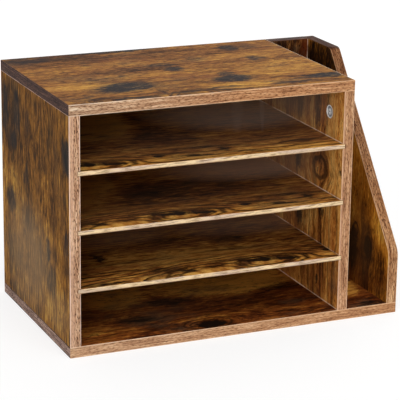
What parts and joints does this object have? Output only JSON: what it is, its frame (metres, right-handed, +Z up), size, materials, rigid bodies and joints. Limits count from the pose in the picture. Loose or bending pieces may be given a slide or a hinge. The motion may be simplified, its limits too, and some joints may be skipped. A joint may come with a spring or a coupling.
{
  "type": "mail sorter",
  "caption": "Desktop mail sorter of wood-print boards: level paper slots on sliding shelves beside a tall open file pocket with a sloped outer panel.",
  "frame": {"origin": "bottom centre of the bounding box, on the surface it stands on", "axes": "+X to the right as seen from the front, +Y to the back, +Z up; the open front faces -Y"},
  "size_m": [0.391, 0.227, 0.275],
  "materials": {
    "printed_board": "rustic brown wood print under satin melamine, golden brown with dark worn patches",
    "shelf_board": "the same print on thin fibreboard, with a pale front edge",
    "back_sheet": "thin fibreboard with the same print, satin",
    "edge_band": "lighter pinkish brown printed edge strip with fine dark grain, satin",
    "dark_edge_band": "dark purplish brown printed edge strip, satin",
    "cast_zinc": "die-cast zinc, bright and slightly grainy",
    "plated_steel": "zinc-plated steel",
    "beech": "bare beech"
  },
  "bodies": {
    "cabinet": {"base_board": "printed_board", "left_side_panel": "printed_board", "divider_panel": "printed_board", "outer_side_panel": "printed_board", "side_back_panel": "printed_board", "top_board": "printed_board", "back_board": "back_sheet", "base_front_band": "edge_band", "base_rear_band": "edge_band", "base_right_band": "edge_band", "base_left_band": "edge_band", "top_front_band": "edge_band", "top_rear_band": "edge_band", "top_right_band": "edge_band", "left_panel_front_band": "edge_band", "left_panel_rear_band": "edge_band", "divider_front_band": "edge_band", "divider_rear_band": "edge_band", "outer_panel_front_band": "edge_band", "outer_panel_rear_band": "edge_band", "top_left_band": "dark_edge_band", "side_back_top_band": "dark_edge_band", "cam_locks": "cast_zinc", "cam_bolts": "plated_steel", "base_screws": "plated_steel", "wooden_dowels": "beech"},
    "lower_shelf": {"lower_shelf": "shelf_board"},
    "middle_shelf": {"middle_shelf": "shelf_board"},
    "upper_shelf": {"upper_shelf": "shelf_board"}
  },
  "joints": [
    {"name": "lower_shelf_slide", "type": "slide", "parent": "cabinet", "child": "lower_shelf", "axis": [0, -1, 0], "range_m": [0, 0.216]},
    {"name": "middle_shelf_slide", "type": "slide", "parent": "cabinet", "child": "middle_shelf", "axis": [0, -1, 0], "range_m": [0, 0.216]},
    {"name": "upper_shelf_slide", "type": "slide", "parent": "cabinet", "child": "upper_shelf", "axis": [0, -1, 0], "range_m": [0, 0.216]}
  ]
}
